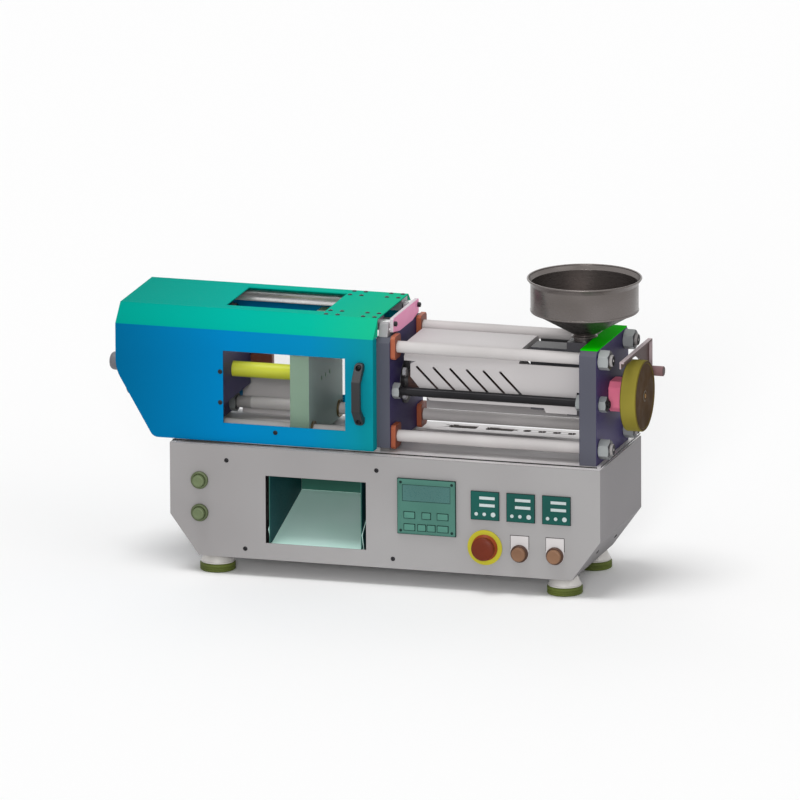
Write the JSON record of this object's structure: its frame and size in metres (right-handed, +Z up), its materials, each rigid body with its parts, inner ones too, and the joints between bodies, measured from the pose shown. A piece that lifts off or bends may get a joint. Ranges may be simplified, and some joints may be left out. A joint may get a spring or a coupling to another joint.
{
  "type": "desktop injection moulding machine",
  "caption": "Desktop injection moulding machine: steel cabinet with a drop chute, cylinder clamp on tie bars, sliding guard, covered heated barrel, hopper and screw drive.",
  "frame": {"origin": "centre of the machine's plan at floor level, under the feet", "axes": "+X from the clamp end to the injection end, +Y from the operator's side to the back, +Z up"},
  "size_m": [0.943, 0.299, 0.5226],
  "materials": {
    "cabinet_paint": "fine satin powder coat",
    "deck_steel": "ground steel",
    "plate_paint": "satin enamel",
    "moving_plate_paint": "satin enamel",
    "cap_paint": "gloss enamel",
    "chromed_bar": "ground and chromed",
    "zinc_steel": "zinc plated",
    "black_steel": "blackened",
    "keeper_steel": "oxide primer",
    "rod_chromate": "yellow passivated",
    "bush_bronze": "turned bronze",
    "cylinder_aluminium": "anodised",
    "cap_iron": "satin enamel",
    "barrel_steel": "nitrided",
    "heater_mica": "scaled sheet",
    "hopper_steel": "spun stainless steel",
    "cover_sheet": "satin coat",
    "housing_paint": "satin enamel",
    "cross_plate_paint": "satin enamel",
    "disc_bronze": "olive enamel",
    "bracket_paint": "satin coat",
    "guard_paint": "gloss enamel",
    "clear_sheet": "clear polycarbonate",
    "black_plastic": "moulded",
    "block_steel": "machined",
    "cone_metal": "turned",
    "pad_rubber": "olive rubber",
    "chute_paint": "mint enamel",
    "panel_plastic": "fine grain",
    "display_film": "gloss film",
    "key_film": "film",
    "controller_plastic": "fine grain",
    "readout_white": "lit segments",
    "warning_yellow": "moulded",
    "stop_red": "moulded",
    "legend_sheet": "plain",
    "copper_plastic": "moulded",
    "olive_plastic": "moulded"
  },
  "bodies": {
    "frame": {"cabinet_shell": "cabinet_paint", "deck_plate": "deck_steel", "back_panel": "cabinet_paint", "cabinet_screws": "black_steel", "foot_cones": "cone_metal", "foot_pads": "pad_rubber", "chute_tray": "chute_paint", "cable_gland": "black_plastic", "hmi_bezel": "panel_plastic", "hmi_display": "display_film", "hmi_keys": "key_film", "temperature_controllers": "controller_plastic", "controller_displays": "readout_white", "estop_ring": "warning_yellow", "legend_plates": "legend_sheet", "switch_collars": "copper_plastic", "jog_collars": "olive_plastic", "tail_platen": "plate_paint", "cylinder_head": "plate_paint", "cylinder_tube": "cylinder_aluminium", "cylinder_rear_cap": "cap_iron", "cylinder_tie_rods": "zinc_steel", "tie_bars": "chromed_bar", "hex_nuts": "zinc_steel", "fixed_platen": "plate_paint", "bar_keepers": "keeper_steel", "nozzle_flange": "black_steel", "end_plate": "plate_paint", "end_plate_cap": "cap_paint", "pull_rods": "black_steel", "barrel": "barrel_steel", "nozzle": "bush_bronze", "heater_bands": "heater_mica", "feed_block": "barrel_steel", "hopper": "hopper_steel", "barrel_cover": "cover_sheet", "bearing_housing": "housing_paint", "drive_bearings": "zinc_steel", "drive_bracket": "bracket_paint", "slide_rails": "zinc_steel", "rail_supports": "cover_sheet", "rail_end_plate": "cross_plate_paint", "frame_bolts": "black_steel", "rear_panel": "cover_sheet", "interlock_switch": "keeper_steel"},
    "guard": {"guard_hood": "guard_paint", "guard_panes": "clear_sheet", "guard_handle": "black_plastic", "guard_screws": "black_steel", "slide_blocks": "block_steel"},
    "clamp": {"moving_platen": "moving_plate_paint", "platen_bushes": "bush_bronze", "clamp_rod": "rod_chromate"},
    "screw": {"injection_screw": "zinc_steel", "drive_disc": "disc_bronze"},
    "estop": {"estop_mushroom": "stop_red"},
    "start": {"start_button": "copper_plastic"},
    "stop": {"stop_button": "copper_plastic"},
    "jog_up": {"jog_button_upper": "olive_plastic"},
    "jog_down": {"jog_button_lower": "olive_plastic"}
  },
  "joints": [
    {"name": "guard_slide", "type": "slide", "parent": "frame", "child": "guard", "axis": [1, 0, 0], "range_m": [-0.2, 0]},
    {"name": "clamp_slide", "type": "slide", "parent": "frame", "child": "clamp", "axis": [1, 0, 0], "range_m": [-0.06, 0.05]},
    {"name": "screw_turn", "type": "hinge", "parent": "frame", "child": "screw", "pos_m": [0.44, 0, 0.325], "axis": [1, 0, 0], "continuous": true},
    {"name": "estop_press", "type": "slide", "parent": "frame", "child": "estop", "axis": [0, 1, 0], "range_m": [0, 0.004], "stiffness_N_per_m": 2500, "springref_m": -0.001},
    {"name": "start_press", "type": "slide", "parent": "frame", "child": "start", "axis": [0, 1, 0], "range_m": [0, 0.003], "stiffness_N_per_m": 1200, "springref_m": -0.001},
    {"name": "stop_press", "type": "slide", "parent": "frame", "child": "stop", "axis": [0, 1, 0], "range_m": [0, 0.003], "stiffness_N_per_m": 1200, "springref_m": -0.001},
    {"name": "jog_up_press", "type": "slide", "parent": "frame", "child": "jog_up", "axis": [0, 1, 0], "range_m": [0, 0.003], "stiffness_N_per_m": 1200, "springref_m": -0.001},
    {"name": "jog_down_press", "type": "slide", "parent": "frame", "child": "jog_down", "axis": [0, 1, 0], "range_m": [0, 0.003], "stiffness_N_per_m": 1200, "springref_m": -0.001}
  ]
}
